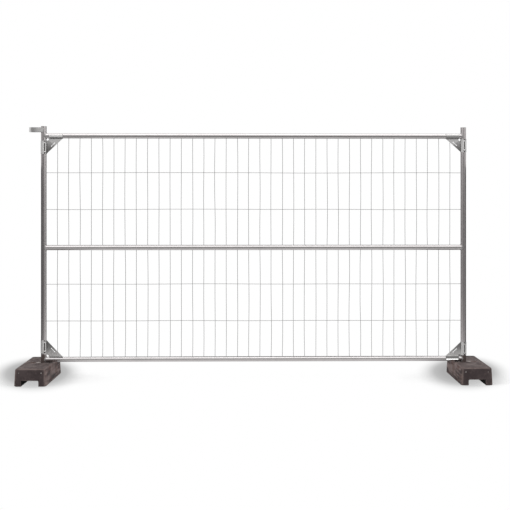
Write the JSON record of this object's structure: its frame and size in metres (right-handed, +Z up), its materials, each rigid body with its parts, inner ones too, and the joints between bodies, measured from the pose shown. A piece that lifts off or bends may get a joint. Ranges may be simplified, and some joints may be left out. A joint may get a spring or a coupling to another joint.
{
  "type": "welded mesh fence panel",
  "caption": "Free-standing site fence panel: welded round-tube frame with a wire mesh behind it, folded corner gussets, a hoop that couples it to the next panel, and two plastic foot blocks.",
  "frame": {"origin": "on the ground, midway between the posts, in the plane of the post axes", "axes": "+X along the panel, away from the coupling hoop; +Y through the panel to the mesh side; +Z up"},
  "size_m": [3.7714, 0.6794, 2.0645],
  "materials": {
    "galvanised_tube": "hot-dip galvanised tube, dull grey with soft bright streaks",
    "galvanised_wire": "galvanised drawn wire, dull grey",
    "galvanised_sheet": "galvanised folded sheet and flat bar, faintly spangled",
    "foot_plastic": "moulded recycled plastic, dark brown, mottled with flow marks and pale scuffs",
    "plug_plastic": "black moulded plastic"
  },
  "bodies": {
    "panel": {"left_post": "galvanised_tube", "right_post": "galvanised_tube", "top_rail": "galvanised_tube", "middle_rail": "galvanised_tube", "bottom_rail": "galvanised_tube", "upright_wire_01": "galvanised_wire", "upright_wire_02": "galvanised_wire", "upright_wire_03": "galvanised_wire", "upright_wire_04": "galvanised_wire", "upright_wire_05": "galvanised_wire", "upright_wire_06": "galvanised_wire", "upright_wire_07": "galvanised_wire", "upright_wire_08": "galvanised_wire", "upright_wire_09": "galvanised_wire", "upright_wire_10": "galvanised_wire", "upright_wire_11": "galvanised_wire", "upright_wire_12": "galvanised_wire", "upright_wire_13": "galvanised_wire", "upright_wire_14": "galvanised_wire", "upright_wire_15": "galvanised_wire", "upright_wire_16": "galvanised_wire", "upright_wire_17": "galvanised_wire", "upright_wire_18": "galvanised_wire", "upright_wire_19": "galvanised_wire", "upright_wire_20": "galvanised_wire", "upright_wire_21": "galvanised_wire", "upright_wire_22": "galvanised_wire", "upright_wire_23": "galvanised_wire", "upright_wire_24": "galvanised_wire", "upright_wire_25": "galvanised_wire", "upright_wire_26": "galvanised_wire", "upright_wire_27": "galvanised_wire", "upright_wire_28": "galvanised_wire", "upright_wire_29": "galvanised_wire", "upright_wire_30": "galvanised_wire", "upright_wire_31": "galvanised_wire", "upright_wire_32": "galvanised_wire", "upright_wire_33": "galvanised_wire", "upright_wire_34": "galvanised_wire", "upright_wire_35": "galvanised_wire", "upright_wire_36": "galvanised_wire", "cross_wire_1": "galvanised_wire", "cross_wire_2": "galvanised_wire", "cross_wire_3": "galvanised_wire", "cross_wire_4": "galvanised_wire", "top_left_gusset": "galvanised_sheet", "top_right_gusset": "galvanised_sheet", "bottom_left_gusset": "galvanised_sheet", "bottom_right_gusset": "galvanised_sheet", "coupling_hoop": "galvanised_sheet"},
    "left_plug": {"left_post_plug": "plug_plastic"},
    "right_plug": {"right_post_plug": "plug_plastic"},
    "left_foot_block": {"left_foot": "foot_plastic"},
    "right_foot_block": {"right_foot": "foot_plastic"}
  },
  "joints": [
    {"name": "left_foot_swivel", "type": "hinge", "parent": "panel", "child": "left_plug", "pos_m": [-1.715, 0, 0.072], "axis": [0, 0, 1], "continuous": true},
    {"name": "left_foot_pull_off", "type": "slide", "parent": "left_plug", "child": "left_foot_block", "axis": [0, 0, -1], "range_m": [0, 0.08]},
    {"name": "right_foot_swivel", "type": "hinge", "parent": "panel", "child": "right_plug", "pos_m": [1.715, 0, 0.072], "axis": [0, 0, 1], "continuous": true},
    {"name": "right_foot_pull_off", "type": "slide", "parent": "right_plug", "child": "right_foot_block", "axis": [0, 0, -1], "range_m": [0, 0.08]}
  ]
}
